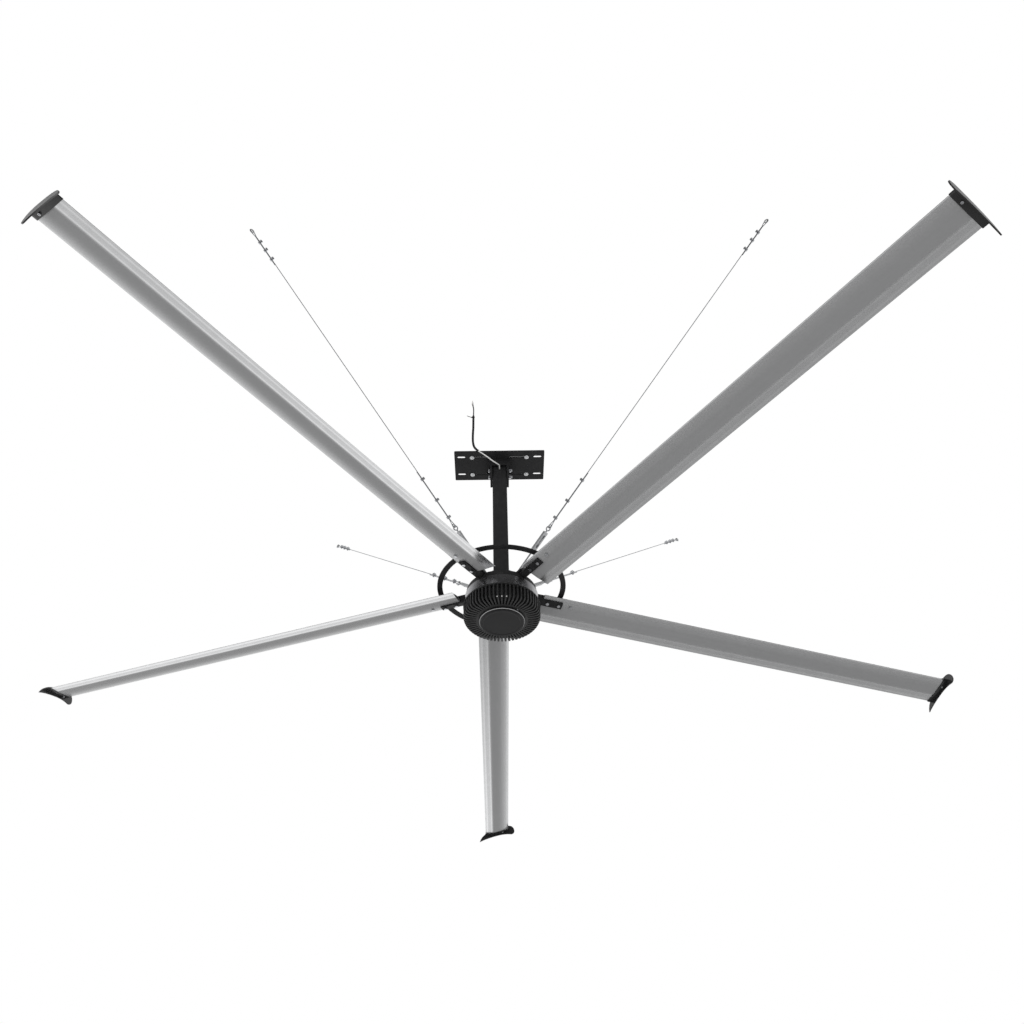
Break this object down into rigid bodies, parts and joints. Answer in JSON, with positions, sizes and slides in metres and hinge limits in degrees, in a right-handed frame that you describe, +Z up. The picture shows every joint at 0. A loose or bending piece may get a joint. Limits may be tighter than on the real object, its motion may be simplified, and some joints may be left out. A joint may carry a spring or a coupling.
{
  "type": "ceiling fan",
  "caption": "Large slow ceiling fan: aerofoil blades with winglets on a finned direct-drive motor, under a square down tube with a slotted mounting plate and guy ropes.",
  "frame": {"origin": "centre of the mounting plate's upper face, midway between its corner slots", "axes": "+Z up along the fan's shaft, +X along the mounting plate's length, -Y towards the side that the power lead leaves"},
  "size_m": [5.9518, 5.6899, 1.8472],
  "materials": {
    "bracket": "satin black paint",
    "bolts": "zinc plated",
    "tube": "dark grey paint",
    "grommet": "black rubber",
    "steel": "ground",
    "carrier": "cast",
    "laminations": "stacked sheet",
    "winding": "enamelled copper wire",
    "lead": "light grey sheath",
    "rope": "stranded galvanised wire",
    "galvanised": "galvanised",
    "sleeve": "braided black sleeve",
    "cores": "insulated cores",
    "tie": "black nylon",
    "cover": "black powder coat",
    "band": "turned and polished",
    "magnet": "plated",
    "housing": "black powder coat on aluminium",
    "cap": "black powder coat",
    "lens": "clear",
    "arm": "black powder coat",
    "ring": "black powder coat",
    "blade": "anodised extrusion",
    "winglet": "black moulded"
  },
  "bodies": {
    "mount": {"mounting_plate": "bracket", "yoke_bracket": "bracket", "clamp_bolts": "bolts", "clamp_nuts": "bolts", "yoke_bolts": "bolts", "yoke_nuts": "bolts", "down_tube": "tube", "lead_grommet": "grommet", "foot_flange": "bracket", "foot_bolts": "bolts", "motor_shaft": "steel", "shaft_nut": "steel", "stator_carrier": "carrier", "stator_core": "laminations", "stator_coils": "winding", "bearing_inner_rings": "steel", "motor_lead": "lead", "lug_pins": "bolts", "turnbuckle_screws": "bolts", "guy_rope_1": "rope", "guy_rope_2": "rope", "guy_rope_3": "rope", "guy_rope_4": "rope", "rope_thimbles": "galvanised", "rope_clips": "bolts", "power_lead": "lead", "lead_sleeve": "sleeve", "lead_cores": "cores", "cable_tie": "tie"},
    "bearing_balls": {"bearing_balls": "steel"},
    "rotor": {"top_cover": "cover", "rotor_ring": "band", "rotor_magnets": "magnet", "finned_housing": "housing", "motor_cap": "cap", "housing_screws": "bolts", "bearing_outer_rings": "steel", "indicator_lenses": "lens", "blade_arm_1": "arm", "blade_arm_2": "arm", "blade_arm_3": "arm", "blade_arm_4": "arm", "blade_arm_5": "arm", "arm_bolts": "bolts", "blade_bolts": "bolts", "safety_ring": "ring", "blade_1": "blade", "blade_2": "blade", "blade_3": "blade", "blade_4": "blade", "blade_5": "blade", "winglet_1": "winglet", "winglet_2": "winglet", "winglet_3": "winglet", "winglet_4": "winglet", "winglet_5": "winglet"},
    "turnbuckle_1": {"turnbuckle_1": "galvanised"},
    "turnbuckle_2": {"turnbuckle_2": "galvanised"},
    "turnbuckle_3": {"turnbuckle_3": "galvanised"},
    "turnbuckle_4": {"turnbuckle_4": "galvanised"}
  },
  "joints": [
    {"name": "rotor_spin", "type": "hinge", "parent": "mount", "child": "rotor", "pos_m": [0, 0, -1.176], "axis": [0, 0, 1], "continuous": true},
    {"name": "ball_cage_spin", "type": "hinge", "parent": "mount", "child": "bearing_balls", "pos_m": [0, 0, -1.176], "axis": [0, 0, 1], "continuous": true},
    {"name": "turnbuckle_1_turn", "type": "hinge", "parent": "mount", "child": "turnbuckle_1", "pos_m": [-0.21753, -0.21977, -0.88737], "axis": [-0.5554, -0.5611, 0.6137], "range_deg": [-180, 180]},
    {"name": "turnbuckle_2_turn", "type": "hinge", "parent": "mount", "child": "turnbuckle_2", "pos_m": [0.22871, -0.21432, -0.89293], "axis": [0.5877, -0.5507, 0.5927], "range_deg": [-180, 180]},
    {"name": "turnbuckle_3_turn", "type": "hinge", "parent": "mount", "child": "turnbuckle_3", "pos_m": [-0.21152, 0.21392, -0.87712], "axis": [-0.5329, 0.5389, 0.6524], "range_deg": [-180, 180]},
    {"name": "turnbuckle_4_turn", "type": "hinge", "parent": "mount", "child": "turnbuckle_4", "pos_m": [0.22567, 0.20381, -0.88095], "axis": [0.5715, 0.5162, 0.6379], "range_deg": [-180, 180]}
  ],
  "couplings": [
    {"joint": "ball_cage_spin", "follows": "rotor_spin", "ratio": 0.4}
  ]
}
